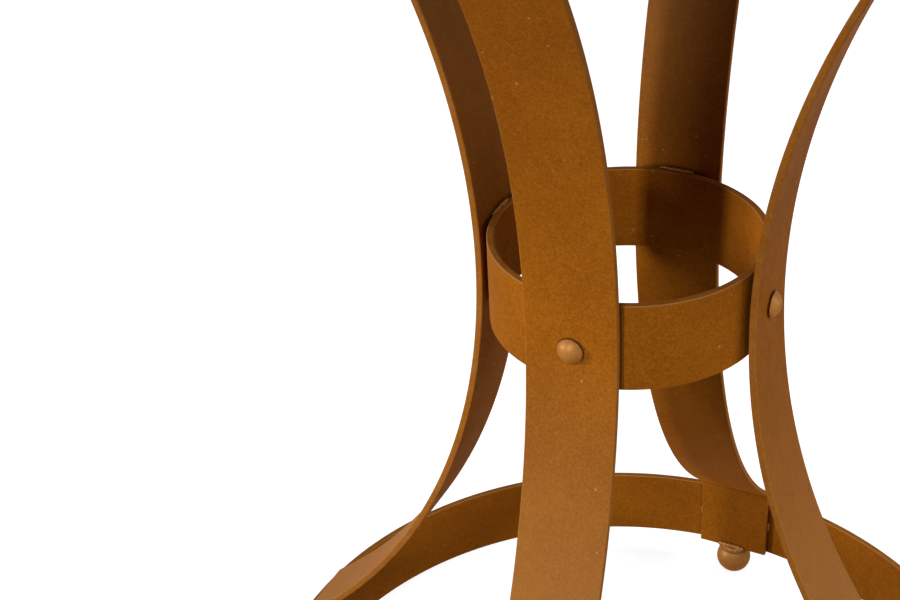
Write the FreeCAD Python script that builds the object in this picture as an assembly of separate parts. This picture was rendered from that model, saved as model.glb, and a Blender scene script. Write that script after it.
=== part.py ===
"""Round chess table on an hourglass base of rolled flat bar.

Four legs are each one length of flat bar, rolled to a single arc that touches the waist ring at
its middle. Both ends are turned upright and welded inside a ring: the base ring below and the
smaller top ring above. A domed rivet holds each leg to the waist ring, and a steel ball is
welded under each leg as its foot. The top is an angle-section rim frame with a cross of straps.
It carries a backer board, a mortar bed and stone tiles: eight by eight playing squares, a border
of tiles, a field of sawn stones in rings, and a row of stones along the rim.

Millimetres, +Z up. The origin is on the floor, on the table's axis. The players sit at -Y and
+Y, and the legs stand at the four corners of the playing squares.
"""
import FreeCAD
import Part

import math
import os

# Flat bar that the legs and the three rings are made of
bar_width = 50.0
bar_thickness = 4.0
leg_arc_radius = 400.0
bend_inside_radius = 4.0
bend_standoff = 3.6
leg_count = 4
first_leg_angle = 225.0

# Rings
waist_ring_diameter = 150.0
base_ring_diameter = 461.0
top_ring_diameter = 396.0
ring_fit_clearance = 0.15

# Ball feet
ball_diameter = 25.0
ball_seat_depth = 1.2
ball_wear_depth = 0.4

# Rivets through leg and waist ring, set a little below the ring's middle
rivet_drop = 2.0
rivet_head_diameter = 14.2
rivet_head_height = 5.4
rivet_shank_diameter = 7.9
rivet_tail_diameter = 12.0
rivet_tail_depth = 2.2
rivet_hole_clearance = 0.1

# Weld beads
weld_clearance = 0.03
weld_crown = 0.5
foot_bead_width = 3.4
foot_bead_height = 3.2
waist_bead_leg = 2.4
waist_bead_length = 20.0
tack_leg = 2.2
tack_length = 8.0

# Rim frame, an angle section rolled to a circle, and the straps across it
rim_wall = 3.2
rim_ledge_width = 25.0
strap_width = 38.0
strap_fit_clearance = 0.1
strap_bead_width = 6.0
strap_bead_height = 1.8

# Tabs inside the top ring, and the screws through them
tab_width = 25.0
tab_thickness = 3.2
tab_reach = 32.0
tab_hole_diameter = 6.4
tab_hole_inset = 12.0
tab_corner_radius = 5.0
tab_fit_clearance = 0.1
tab_bead_leg = 2.4
screw_head_diameter = 10.0
screw_head_height = 3.2
screw_shank_diameter = 4.8
screw_grip_in_board = 11.0
screw_tip_length = 3.0
screw_hole_clearance = 0.05

# Board, mortar, grout and tiles
board_thickness = 19.0
board_side_clearance = 1.0
mortar_thickness = 6.0
tile_thickness = 9.8
grout_recess = 0.8
grout_side_clearance = 0.2
joint_width = 2.4
square_pitch = 50.0
squares_per_side = 8
square_edge_chamfer = 1.0
border_width = 25.0
corner_field_width = 27.4
field_stone_counts = (36, 32, 28)
rim_stone_width = 31.0
rim_stone_count = 40
smallest_stone_side = 14.0

# Cutting bodies run past what they cut by this much
overrun = 5.0

# Legs and rings, worked out from the sizes above
half_width = bar_width / 2
waist_radius = waist_ring_diameter / 2
arc_centre_r = waist_radius + leg_arc_radius
outer_arc_radius = leg_arc_radius - bar_thickness
bend_outside_radius = bend_inside_radius + bar_thickness
bend_reach = outer_arc_radius + bend_outside_radius


def leg_end_radius(ring_inner):
    """How far out a leg's flat end reaches inside a ring."""
    return math.sqrt(ring_inner ** 2 - half_width ** 2) - ring_fit_clearance


def bend_height(end_r):
    """How far the centre of an end bend lies above or below the waist."""
    return math.sqrt(bend_reach ** 2 - (arc_centre_r - end_r + bend_outside_radius) ** 2)


base_ring_outer = base_ring_diameter / 2
base_ring_inner = base_ring_outer - bar_thickness
low_end_r = leg_end_radius(base_ring_inner)
low_bend_drop = bend_height(low_end_r)
top_ring_outer = top_ring_diameter / 2
top_ring_inner = top_ring_outer - bar_thickness
high_end_r = leg_end_radius(top_ring_inner)
high_bend_rise = bend_height(high_end_r)

ball_radius = ball_diameter / 2
ball_centre_z = ball_radius - ball_wear_depth
foot_r = (low_end_r - bar_thickness + base_ring_outer) / 2
base_ring_bottom = ball_centre_z + ball_radius - ball_seat_depth
base_ring_top = base_ring_bottom + bar_width
waist_z = base_ring_top + bend_standoff + low_bend_drop
rivet_z = waist_z - rivet_drop
top_ring_bottom = waist_z + high_bend_rise + bend_standoff
top_ring_top = top_ring_bottom + bar_width

# The top, worked out from the sizes above
strap_thickness = rim_wall
board_bottom = top_ring_top + strap_thickness
board_top = board_bottom + board_thickness
tile_bottom = board_top + mortar_thickness
table_height = tile_bottom + tile_thickness
grout_top = table_height - grout_recess
rim_bottom = board_bottom - rim_wall

board_half = square_pitch * squares_per_side / 2
border_half = board_half + border_width
field_radius = math.hypot(border_half, border_half) + corner_field_width
grout_radius = field_radius + rim_stone_width
rim_inner = grout_radius + grout_side_clearance
top_radius = rim_inner + rim_wall
board_radius = rim_inner - board_side_clearance
ledge_inner = top_radius - rim_ledge_width

leg_names = ("front_left", "front_right", "rear_right", "rear_left")
side_names = ("front", "right", "rear", "left")

UP = FreeCAD.Vector(0, 0, 1)
OUTWARD = FreeCAD.Vector(1, 0, 0)
ORIGIN = FreeCAD.Vector(0, 0, 0)


def at(x, y, z):
    return FreeCAD.Vector(x, y, z)


def turned(shape, angle):
    """A copy of the shape turned about the table's axis, in degrees."""
    copy = shape.copy()
    copy.rotate(ORIGIN, UP, angle)
    return copy


def quarter_angle(index):
    return 360.0 / leg_count * index


def leg_angle(index):
    return first_leg_angle + quarter_angle(index)


def save(name, solids):
    """Write one node. A node of several pieces is a compound of separate solids."""
    shape = solids[0] if len(solids) == 1 else Part.makeCompound(solids)
    shape.exportStep(os.path.join("parts", name + ".step"))


def tube(outer, inner, bottom, height):
    """A plain ring of flat bar standing on its edge."""
    wall = Part.makeCylinder(outer, height, at(0, 0, bottom))
    bore = Part.makeCylinder(inner, height + 2 * overrun, at(0, 0, bottom - overrun))
    return wall.cut(bore)


def prism(section, run):
    """A straight bar from a closed section and the vector it runs along."""
    return Part.Face(Part.makePolygon(section + section[:1])).extrude(run)


def crowned(low, high, corner):
    """The outline of a fillet weld in a corner, its face raised a little in the middle."""
    away = low.add(high).multiply(0.5).sub(corner).normalize()
    crest = low.add(high).multiply(0.5).add(away.multiply(weld_crown))
    return [corner, low, crest, high]


# Legs

def arc_between(centre, radius, start, end):
    """An arc in the XZ plane about a centre, between two angles in degrees."""
    def point(angle):
        turn = math.radians(angle)
        return at(centre[0] + radius * math.cos(turn), 0, centre[1] + radius * math.sin(turn))
    return Part.Arc(point(start), point((start + end) / 2), point(end)).toShape()


def leg_face_edges(face_radius, end_bend_radius, low_r, high_r):
    """One face of the bar, from its low end up to its high end: straight, bend, long arc, bend,
    straight. The long arc curves the other way from the two bends."""
    centre = (arc_centre_r, waist_z)
    low_bend = (low_end_r - bend_outside_radius, waist_z - low_bend_drop)
    high_bend = (high_end_r - bend_outside_radius, waist_z + high_bend_rise)
    low_slope = math.degrees(math.atan2(low_bend_drop, arc_centre_r - low_bend[0]))
    high_slope = math.degrees(math.atan2(high_bend_rise, arc_centre_r - high_bend[0]))
    low_straight = Part.makeLine(at(low_r, 0, base_ring_bottom), at(low_r, 0, low_bend[1]))
    high_straight = Part.makeLine(at(high_r, 0, high_bend[1]), at(high_r, 0, top_ring_top))
    return [
        low_straight,
        arc_between(low_bend, end_bend_radius, 0, low_slope),
        arc_between(centre, face_radius, 180 + low_slope, 180 - high_slope),
        arc_between(high_bend, end_bend_radius, -high_slope, 0),
        high_straight,
    ]


def leg_blank():
    """One leg on the +X side, before it is drilled."""
    inner_low = low_end_r - bar_thickness
    inner_high = high_end_r - bar_thickness
    inner = leg_face_edges(leg_arc_radius, bend_inside_radius, inner_low, inner_high)
    outer = leg_face_edges(outer_arc_radius, bend_outside_radius, low_end_r, high_end_r)
    low_cap = Part.makeLine(at(inner_low, 0, base_ring_bottom), at(low_end_r, 0, base_ring_bottom))
    high_cap = Part.makeLine(at(inner_high, 0, top_ring_top), at(high_end_r, 0, top_ring_top))
    edges = Part.__sortEdges__(inner + outer + [low_cap, high_cap])
    outline = Part.Face(Part.Wire(edges))
    outline.translate(at(0, -half_width, 0))
    return outline.extrude(at(0, bar_width, 0))


def rivet_tail_x(clearance):
    """Where the flat tail of a rivet meets the bore of the waist ring at its own edge."""
    bore = waist_radius - bar_thickness
    return math.sqrt(bore ** 2 - (rivet_tail_diameter / 2 + clearance) ** 2)


def turned_on_rivet_axis(profile):
    """A solid turned about a rivet's axis, from (place along the axis, radius) pairs."""
    corners = [at(x, 0, rivet_z + r) for x, r in profile]
    return Part.Face(Part.makePolygon(corners + corners[:1])).revolve(at(0, 0, rivet_z), OUTWARD, 360)


def rivet_hole():
    """The drilled and countersunk hole through leg and waist ring on the +X side."""
    tail = rivet_tail_diameter / 2 + rivet_hole_clearance
    shank = rivet_shank_diameter / 2 + rivet_hole_clearance
    flare = (tail - shank) / rivet_tail_depth
    tail_x = rivet_tail_x(rivet_hole_clearance)
    return turned_on_rivet_axis([
        (tail_x - overrun, 0),
        (tail_x - overrun, tail + flare * overrun),
        (tail_x + rivet_tail_depth, shank),
        (waist_radius + bar_thickness + overrun, shank),
        (waist_radius + bar_thickness + overrun, 0),
    ])


def rivet():
    """Domed head on the leg, shank through both bars, and a tail closed in the countersink."""
    head = rivet_head_diameter / 2
    low_edge = head + rivet_drop
    bow = outer_arc_radius - math.sqrt(outer_arc_radius ** 2 - low_edge ** 2)
    seat = waist_radius + bar_thickness + bow
    dome = (head ** 2 + rivet_head_height ** 2) / (2 * rivet_head_height)
    tail_x = rivet_tail_x(0)
    body = turned_on_rivet_axis([
        (tail_x, 0),
        (tail_x, rivet_tail_diameter / 2),
        (tail_x + rivet_tail_depth, rivet_shank_diameter / 2),
        (seat, rivet_shank_diameter / 2),
        (seat, 0),
    ])
    slope = math.degrees(math.asin((dome - rivet_head_height) / dome))
    cap = Part.makeSphere(dome, at(seat + rivet_head_height - dome, 0, rivet_z), OUTWARD, slope, 90)
    return body.fuse(cap).removeSplitter()


# Feet and welds

def ball_foot():
    """A steel ball, ground flat where it is welded and worn flat where it stands."""
    worn = -math.degrees(math.asin(ball_centre_z / ball_radius))
    seated = math.degrees(math.asin((base_ring_bottom - ball_centre_z) / ball_radius))
    return Part.makeSphere(ball_radius, at(foot_r, 0, ball_centre_z), UP, worn, seated)


def foot_bead():
    """The weld round the top of a ball, under the lower edges of leg and ring."""
    flat_r = math.sqrt(ball_radius ** 2 - (base_ring_bottom - ball_centre_z) ** 2)
    foot_z = base_ring_bottom - foot_bead_height
    foot_bead_r = math.sqrt(ball_radius ** 2 - (foot_z - ball_centre_z) ** 2)
    mid_z = (base_ring_bottom + foot_z) / 2
    mid_r = math.sqrt(ball_radius ** 2 - (mid_z - ball_centre_z) ** 2)
    on_ball = Part.Arc(at(flat_r, 0, base_ring_bottom), at(mid_r, 0, mid_z), at(foot_bead_r, 0, foot_z))
    rim = at(flat_r + foot_bead_width, 0, base_ring_bottom)
    face = Part.makePolygon([at(foot_bead_r, 0, foot_z), rim, at(flat_r, 0, base_ring_bottom)])
    section = Part.Face(Part.Wire([on_ball.toShape()] + face.Edges))
    bead = section.revolve(ORIGIN, UP, 360)
    bead.translate(at(foot_r, 0, 0))
    return bead


def waist_bead():
    """The weld on the waist ring's upper edge, against the inner face of a leg."""
    low_z = waist_z + half_width + weld_clearance
    high_z = low_z + waist_bead_leg

    def leg_face(z):
        return arc_centre_r - math.sqrt(leg_arc_radius ** 2 - (z - waist_z) ** 2) - weld_clearance

    corner = at(leg_face(low_z), -waist_bead_length / 2, low_z)
    low = at(leg_face(low_z) - waist_bead_leg, -waist_bead_length / 2, low_z)
    high = at(leg_face(high_z), -waist_bead_length / 2, high_z)
    return prism(crowned(low, high, corner), at(0, waist_bead_length, 0))


def tack(ring_inner, side, z):
    """A short upright weld between the edge of a leg's end and the wall of its ring."""
    def on_wall(y):
        return at(math.sqrt(ring_inner ** 2 - y ** 2), side * y, z - tack_length / 2)

    corner = on_wall(half_width + weld_clearance)
    high = on_wall(half_width + tack_leg)
    low = at(corner.x - tack_leg, corner.y, corner.z)
    return prism(crowned(low, high, corner), at(0, 0, tack_length))


# Tabs and screws under the top

def tab_hole_r():
    return top_ring_inner - tab_reach + tab_hole_inset


def mounting_tab():
    """A drilled tab on the +X side, flush with the top ring's upper edge."""
    inner_end = top_ring_inner - tab_reach
    box = Part.makeBox(tab_reach, tab_width, tab_thickness,
                       at(inner_end, -tab_width / 2, top_ring_top - tab_thickness))
    corners = [edge for edge in box.Edges
               if edge.BoundBox.ZLength > tab_thickness / 2 and edge.BoundBox.XMax < tab_hole_r()]
    rounded = box.makeFillet(tab_corner_radius, corners)
    within = Part.makeCylinder(top_ring_inner - tab_fit_clearance, tab_thickness,
                               at(0, 0, top_ring_top - tab_thickness))
    hole = Part.makeCylinder(tab_hole_diameter / 2, tab_thickness + 2 * overrun,
                             at(tab_hole_r(), 0, top_ring_top - tab_thickness - overrun))
    return rounded.common(within).cut(hole)


def tab_bead():
    """The weld under a tab, where it meets the wall of the top ring."""
    half = tab_width / 2 - tab_bead_leg
    z = top_ring_top - tab_thickness - weld_clearance
    x = math.sqrt(top_ring_inner ** 2 - half ** 2)
    section = crowned(at(x - tab_bead_leg, -half, z), at(x, -half, z - tab_bead_leg), at(x, -half, z))
    return prism(section, at(0, 2 * half, 0))


def tab_screw():
    """A pan-head screw up through a tab and a strap into the board, with its point."""
    seat = top_ring_top - tab_thickness
    head = screw_head_diameter / 2
    shank = screw_shank_diameter / 2
    tip = top_ring_top + strap_thickness + screw_grip_in_board
    outline = [
        (0, seat - screw_head_height),
        (shank, seat - screw_head_height),
        (head, seat),
        (shank, seat),
        (shank, tip - screw_tip_length),
        (0, tip),
    ]
    corners = [at(x, 0, z) for x, z in outline]
    screw = Part.Face(Part.makePolygon(corners + corners[:1])).revolve(ORIGIN, UP, 360)
    screw.translate(at(tab_hole_r(), 0, 0))
    return screw


def screw_pilot():
    """The hole that a screw cuts through a strap and into the board."""
    depth = strap_thickness + screw_grip_in_board + screw_hole_clearance
    radius = screw_shank_diameter / 2 + screw_hole_clearance
    return Part.makeCylinder(radius, depth, at(tab_hole_r(), 0, top_ring_top))


# Top: frame, straps, board, mortar

def rim_frame():
    """The angle section turned about the axis, its ledge at the bottom."""
    outline = [
        at(ledge_inner, 0, rim_bottom),
        at(top_radius, 0, rim_bottom),
        at(top_radius, 0, table_height),
        at(rim_inner, 0, table_height),
        at(rim_inner, 0, board_bottom),
        at(ledge_inner, 0, board_bottom),
    ]
    section = Part.Face(Part.makePolygon(outline + outline[:1]))
    return section.revolve(ORIGIN, UP, 360)


def strap_from(start):
    """A strap on the +X side, level with the ledge, its end rounded to fit inside the ledge."""
    reach = ledge_inner - strap_fit_clearance
    bar = Part.makeBox(ledge_inner - start, strap_width, strap_thickness,
                       at(start, -strap_width / 2, top_ring_top))
    return bar.common(Part.makeCylinder(reach, strap_thickness, at(0, 0, top_ring_top)))


def long_strap(pilots):
    """The strap that crosses the frame from left to right."""
    half = strap_from(0)
    return half.fuse(turned(half, 180)).removeSplitter().cut(pilots)


def short_strap():
    """Half of the strap that crosses from front to rear, up to the long strap's edge."""
    return strap_from(strap_width / 2 + strap_fit_clearance).cut(screw_pilot())


def strap_bead():
    """The weld under a strap's end, across the joint between strap and ledge."""
    half = strap_width / 2 - strap_bead_height
    z = top_ring_top - weld_clearance
    x = ledge_inner - strap_bead_width / 2
    root = at(ledge_inner, -half, z - strap_bead_height)
    return prism([at(x, -half, z), at(x + strap_bead_width, -half, z), root], at(0, 2 * half, 0))


def backer_board(pilots):
    disc = Part.makeCylinder(board_radius, board_thickness, at(0, 0, board_bottom))
    return disc.cut(pilots)


# Stone outlines, as lists of (x, y) corners that run anticlockwise

def area(outline):
    total = 0
    for (x0, y0), (x1, y1) in zip(outline, outline[1:] + outline[:1]):
        total += x0 * y1 - x1 * y0
    return total / 2


def clipped(outline, normal, offset):
    """The part of an outline where its distance along the normal is at least the offset."""
    kept = []
    for a, b in zip(outline, outline[1:] + outline[:1]):
        da = a[0] * normal[0] + a[1] * normal[1] - offset
        db = b[0] * normal[0] + b[1] * normal[1] - offset
        if da >= 0:
            kept.append(a)
        if da * db < 0:
            share = da / (da - db)
            kept.append((a[0] + share * (b[0] - a[0]), a[1] + share * (b[1] - a[1])))
    return kept


def inset(outline, distance):
    """A convex outline with every side moved inwards."""
    result = outline
    for (x0, y0), (x1, y1) in zip(outline, outline[1:] + outline[:1]):
        length = math.hypot(x1 - x0, y1 - y0)
        normal = ((y0 - y1) / length, (x1 - x0) / length)
        result = clipped(result, normal, x0 * normal[0] + y0 * normal[1] + distance)
    return result


def square_cell(x, y, size):
    return [(x, y), (x + size, y), (x + size, y + size), (x, y + size)]


def playing_square(column, row):
    cell = square_cell(column * square_pitch - board_half, row * square_pitch - board_half, square_pitch)
    return inset(cell, joint_width / 2)


def border_tiles():
    """The row of tiles in front of the -Y side: a small square at one corner, then eight long."""
    row = [square_cell(-border_half, -border_half, border_width)]
    for column in range(squares_per_side):
        x = column * square_pitch - board_half
        row.append([(x, -border_half), (x + square_pitch, -border_half),
                    (x + square_pitch, -board_half), (x, -board_half)])
    return [inset(cell, joint_width / 2) for cell in row]


def ring_cell(inner, outer, start, step):
    """One stone's share of a ring, with straight sides, between two angles in degrees."""
    def point(radius, angle):
        return (radius * math.cos(math.radians(angle)), radius * math.sin(math.radians(angle)))
    return [point(inner, start), point(outer, start), point(outer, start + step), point(inner, start + step)]


def ring_quarter(inner, outer, count):
    """The cells of a ring between the two front corners of the table."""
    step = 360.0 / count
    return [ring_cell(inner, outer, first_leg_angle + i * step, step)
            for i in range(count // leg_count)]


def rim_stones():
    """The quarter of the rim's row of stones on the -Y side."""
    cells = ring_quarter(field_radius, grout_radius, rim_stone_count)
    return [inset(cell, joint_width / 2) for cell in cells]


def field_stones():
    """The quarter of the field on the -Y side: rings of stones, sawn off at the border."""
    depth = (field_radius - border_half) / len(field_stone_counts)
    stones = []
    for ring, count in enumerate(field_stone_counts):
        ring_outer = field_radius - ring * depth
        for cell in ring_quarter(ring_outer - depth, ring_outer, count):
            stone = clipped(cell, (0.0, -1.0), border_half)
            if len(stone) > 2:
                stone = inset(stone, joint_width / 2)
            if len(stone) > 2 and area(stone) > smallest_stone_side ** 2:
                stones.append(stone)
    return stones


def turned_outline(outline, angle):
    c = math.cos(math.radians(angle))
    s = math.sin(math.radians(angle))
    return [(x * c - y * s, x * s + y * c) for x, y in outline]


def outline_wire(outline, z):
    corners = [at(x, y, z) for x, y in outline]
    return Part.makePolygon(corners + corners[:1])


def stone(outline):
    """A stone with sawn sides, from the mortar to the table's surface."""
    return Part.Face(outline_wire(outline, tile_bottom)).extrude(at(0, 0, tile_thickness))


def eased_stone(outline):
    """A playing square, with its upper edges eased by hand."""
    body = stone(outline)
    upper = [edge for edge in body.Edges if edge.BoundBox.ZMin > grout_top]
    return body.makeChamfer(square_edge_chamfer, upper)


def mortar_bed(outlines):
    """The bed under the stones. Its joints stand up between them, a little below their faces."""
    bed = Part.makeCylinder(board_radius, tile_bottom - board_top, at(0, 0, board_top))
    circle = Part.Wire([Part.Circle(at(0, 0, tile_bottom), UP, grout_radius).toShape()])
    holes = [Part.Face(outline_wire(outline, tile_bottom)) for outline in outlines]
    joints = Part.Face(circle).cut(holes).extrude(at(0, 0, grout_top - tile_bottom))
    return bed.fuse(joints).removeSplitter()


# Build

def build_base():
    blank = leg_blank()
    hole = rivet_hole()
    leg = blank.cut(hole)
    angles = [leg_angle(i) for i in range(leg_count)]

    waist_ring = tube(waist_radius, waist_radius - bar_thickness, waist_z - half_width, bar_width)
    drilled_ring = waist_ring.cut([turned(hole, angle) for angle in angles])
    base_ring = tube(base_ring_outer, base_ring_inner, base_ring_bottom, bar_width)
    top_ring = tube(top_ring_outer, top_ring_inner, top_ring_bottom, bar_width)
    one_rivet = rivet()
    ball = ball_foot()
    base_tack_z = base_ring_bottom + half_width
    top_tack_z = top_ring_bottom + half_width
    base_tacks = [tack(base_ring_inner, side, base_tack_z) for side in (-1, 1)]
    top_tacks = [tack(top_ring_inner, side, top_tack_z) for side in (-1, 1)]

    for name, angle in zip(leg_names, angles):
        save("leg_" + name, [turned(leg, angle)])
        save("waist_rivet_" + name, [turned(one_rivet, angle)])
        save("ball_foot_" + name, [turned(ball, angle)])
    save("waist_ring", [drilled_ring])
    save("base_ring", [base_ring])
    save("top_ring", [top_ring])
    save("foot_welds", [turned(foot_bead(), angle) for angle in angles])
    save("waist_welds", [turned(waist_bead(), angle) for angle in angles])
    save("base_ring_welds", [turned(bead, angle) for angle in angles for bead in base_tacks])
    save("top_ring_welds", [turned(bead, angle) for angle in angles for bead in top_tacks])


def build_tabs():
    tab = mounting_tab()
    bead = tab_bead()
    screw = tab_screw()
    turns = [first_leg_angle + quarter_angle(i + 0.5) for i in range(leg_count)]
    for name, angle in zip(side_names, turns):
        save("mounting_tab_" + name, [turned(tab, angle)])
    save("tab_welds", [turned(bead, angle) for angle in turns])
    save("tab_screws", [turned(screw, angle) for angle in turns])
    return [turned(screw_pilot(), angle) for angle in turns]


def build_top(pilots):
    quarters = [quarter_angle(i) for i in range(leg_count)]
    save("rim_frame", [rim_frame()])
    save("cross_strap_long", [long_strap(pilots)])
    save("cross_straps_short", [turned(short_strap(), angle) for angle in quarters[1::2]])
    save("strap_welds", [turned(strap_bead(), angle) for angle in quarters])
    save("backer_board", [backer_board(pilots)])

    outlines = []
    for row in range(squares_per_side):
        tones = {"dark": [], "light": []}
        for column in range(squares_per_side):
            outline = playing_square(column, row)
            outlines.append(outline)
            tones["light" if (row + column) % 2 else "dark"].append(eased_stone(outline))
        for tone, squares in tones.items():
            save("rank_%d_%s_squares" % (row + 1, tone), squares)

    groups = {"border_tiles": border_tiles(), "field_stones": field_stones(), "rim_stones": rim_stones()}
    for i, side in enumerate(side_names):
        for group, quarter in groups.items():
            placed = [turned_outline(outline, quarter_angle(i)) for outline in quarter]
            outlines.extend(placed)
            save(group + "_" + side, [stone(outline) for outline in placed])
    save("mortar_bed", [mortar_bed(outlines)])


def main():
    os.makedirs("parts", exist_ok=True)
    build_base()
    pilots = build_tabs()
    build_top(pilots)


main()
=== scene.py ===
# %% [markdown]
# # A round chess table on a base of rolled iron bar
#
# The table stands on four flat iron bars. Each is rolled to one long arc, touches a small ring at
# its waist, and ends upright inside a larger ring above and below. A domed rivet holds each bar to
# the waist ring. On top lies a round of stone: a chess board, a border, a field and a rim row.
#
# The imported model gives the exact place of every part. This script dresses it: each part keeps its
# place and size and gets its soft edges, its weld beads and its finish.

import math

import bmesh
import bpy
from mathutils import Matrix, Vector


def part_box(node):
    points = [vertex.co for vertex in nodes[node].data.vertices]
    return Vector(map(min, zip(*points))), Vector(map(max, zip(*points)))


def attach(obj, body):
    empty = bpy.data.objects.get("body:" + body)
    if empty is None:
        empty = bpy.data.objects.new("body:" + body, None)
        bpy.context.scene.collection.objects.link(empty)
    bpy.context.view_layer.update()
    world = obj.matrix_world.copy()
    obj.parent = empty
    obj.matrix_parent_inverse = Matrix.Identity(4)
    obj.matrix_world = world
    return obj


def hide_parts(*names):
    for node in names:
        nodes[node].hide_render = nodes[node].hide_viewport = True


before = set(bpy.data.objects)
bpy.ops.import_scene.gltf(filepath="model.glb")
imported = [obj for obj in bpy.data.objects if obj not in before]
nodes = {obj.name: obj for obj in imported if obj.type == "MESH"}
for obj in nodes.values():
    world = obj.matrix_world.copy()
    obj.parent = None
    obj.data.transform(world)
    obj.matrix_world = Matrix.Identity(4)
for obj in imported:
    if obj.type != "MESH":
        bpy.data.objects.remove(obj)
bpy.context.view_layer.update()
print("CAD nodes:", len(nodes))

# %% [markdown]
# ## Sizes
# Blender works in metres, and a metalworker thinks in millimetres, so every size below is written
# in millimetres and multiplied by `mm`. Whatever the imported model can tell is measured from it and
# not typed again: the heights of the rings, their radii and the height of the stone.

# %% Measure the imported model
mm = 0.001
leg_sides = ("front_left", "front_right", "rear_right", "rear_left")
table_sides = ("front", "right", "rear", "left")
first_leg_angle = math.radians(225)

bar_width = 50 * mm
bar_thickness = 4 * mm
leg_arc_radius = 400 * mm
bend_inside_radius = 4 * mm

waist_low, waist_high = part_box("waist_ring")
base_low, base_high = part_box("base_ring")
top_low, top_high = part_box("top_ring")
waist_radius = waist_high.x
waist_z = (waist_low.z + waist_high.z) / 2
print("waist ring: radius %.1f mm, middle %.2f mm up" % (waist_radius / mm, waist_z / mm))
print("base ring: radius %.1f mm; top ring: radius %.1f mm" % (base_high.x / mm, top_high.x / mm))

# %% [markdown]
# ## The camera
# The photograph looks down at the waist of the base from the front left. The camera's place, its
# turn and its lens were worked out by matching the edges of the bars, so the script only states
# the result. A camera with no rotation looks straight down: `tilt` lifts it, `heading` turns it
# about the upright axis, and `roll` is the small lean of a hand-held picture.

# %% Set up the camera
def put_in_scene(name, data):
    """A new object that shows some data, linked to the scene."""
    thing = bpy.data.objects.new(name, data)
    bpy.context.scene.collection.objects.link(thing)
    return thing


camera_place = Vector((-306.3, -690.5, 839.8)) * mm
heading = math.radians(-16.614)
tilt = math.radians(58.293)
roll = math.radians(-3.478)

camera_data = bpy.data.cameras.new("photograph_view")
camera_data.lens = 65.36
camera_data.sensor_width = 36.0
camera_data.clip_start = 10 * mm
camera_data.clip_end = 50
camera = put_in_scene("photograph_view", camera_data)
camera.matrix_world = (
    Matrix.Translation(camera_place)
    @ Matrix.Rotation(heading, 4, "Z")
    @ Matrix.Rotation(tilt, 4, "X")
    @ Matrix.Rotation(roll, 4, "Z")
)
bpy.context.scene.camera = camera
bpy.context.scene.view_settings.view_transform = "Standard"
print("camera lens %.2f mm, %.0f mm above the floor" % (camera_data.lens, camera_place.z / mm))

# %% [markdown]
# ## Two small helpers for node trees
# Materials and Geometry Nodes are both trees of nodes. One helper adds any node: it takes the
# node's kind, its settings, and what goes into each socket, which is either a plain value or
# another node. The second helper turns a colour as a paint chart writes it, in sRGB hex, into the
# linear numbers that Blender computes with.


# %% Define the helpers
def socket_of(sockets, key):
    """The socket with that place or name; of several with one name, the one in use."""
    if isinstance(key, int):
        return sockets[key]
    return next(socket for socket in sockets if socket.name == key and socket.enabled)


def add_node(tree, kind, settings=None, inputs=None):
    """Add one node. An input is a value, a node (its first output) or a node and output name."""
    node = tree.nodes.new(kind)
    for name, value in (settings or {}).items():
        setattr(node, name, value)
    for key, value in (inputs or {}).items():
        socket = socket_of(node.inputs, key)
        if isinstance(value, bpy.types.Node):
            tree.links.new(next(out for out in value.outputs if out.enabled), socket)
        elif isinstance(value, tuple) and isinstance(value[0], bpy.types.Node):
            tree.links.new(socket_of(value[0].outputs, value[1]), socket)
        else:
            socket.default_value = value
    return node


def linear(hex_colour):
    """An sRGB hex colour as linear red, green, blue and full alpha."""
    values = [int(hex_colour[i:i + 2], 16) / 255 for i in (1, 3, 5)]
    bent = [v / 12.92 if v <= 0.04045 else ((v + 0.055) / 1.055) ** 2.4 for v in values]
    return (*bent, 1.0)


print("the helpers are ready; mid grey is", [round(v, 3) for v in linear("#808080")])

# %% [markdown]
# ## The floor
# A product picture of this kind is taken on a white sheet. The floor stays an ordinary matt white
# that takes the object's shadow. Towards the camera it also glows, which lifts the lit part to
# pure white and leaves the shadow visible. The glow grows to full white far from the table, so
# the edge of the sheet doesn't show against the white world.

# %% Lay the floor
def white_rays(tree):
    """1 for the rays that show the background: from the camera, off gloss and through glass."""
    path = add_node(tree, "ShaderNodeLightPath")
    seen_or_glossy = add_node(tree, "ShaderNodeMath", {"operation": "MAXIMUM"},
                              {0: (path, "Is Camera Ray"), 1: (path, "Is Glossy Ray")})
    return add_node(tree, "ShaderNodeMath", {"operation": "MAXIMUM"},
                    {0: seen_or_glossy, 1: (path, "Is Transmission Ray")})


floor_half = 25.0
near_glow, far_glow = 0.74, 1.0
glow_starts, glow_full = 1.0, 4.0

floor_mesh = bpy.data.meshes.new("studio_floor")
corners = [(-floor_half, -floor_half, 0), (floor_half, -floor_half, 0),
           (floor_half, floor_half, 0), (-floor_half, floor_half, 0)]
floor_mesh.from_pydata(corners, [], [(0, 1, 2, 3)])
floor = put_in_scene("studio_floor", floor_mesh)

sheet = bpy.data.materials.new("matt_white_sheet")
sheet.use_nodes = True
tree = sheet.node_tree
tree.nodes.clear()
seen = white_rays(tree)
place = add_node(tree, "ShaderNodeTexCoord")
away = add_node(tree, "ShaderNodeVectorMath", {"operation": "LENGTH"}, {0: (place, "Object")})
glow_here = add_node(tree, "ShaderNodeMapRange", None, {
    "Value": (away, "Value"), "From Min": glow_starts, "From Max": glow_full,
    "To Min": near_glow, "To Max": far_glow})
glow_level = add_node(tree, "ShaderNodeMath", {"operation": "MULTIPLY"}, {0: seen, 1: glow_here})
glow = add_node(tree, "ShaderNodeEmission", None, {"Strength": glow_level})
tint = add_node(tree, "ShaderNodeMix", {"data_type": "RGBA"},
                {"Factor": seen, "A": linear("#8F8E8C"), "B": linear("#D2D4D8")})
matt = add_node(tree, "ShaderNodeBsdfDiffuse", None, {"Color": tint})
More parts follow.
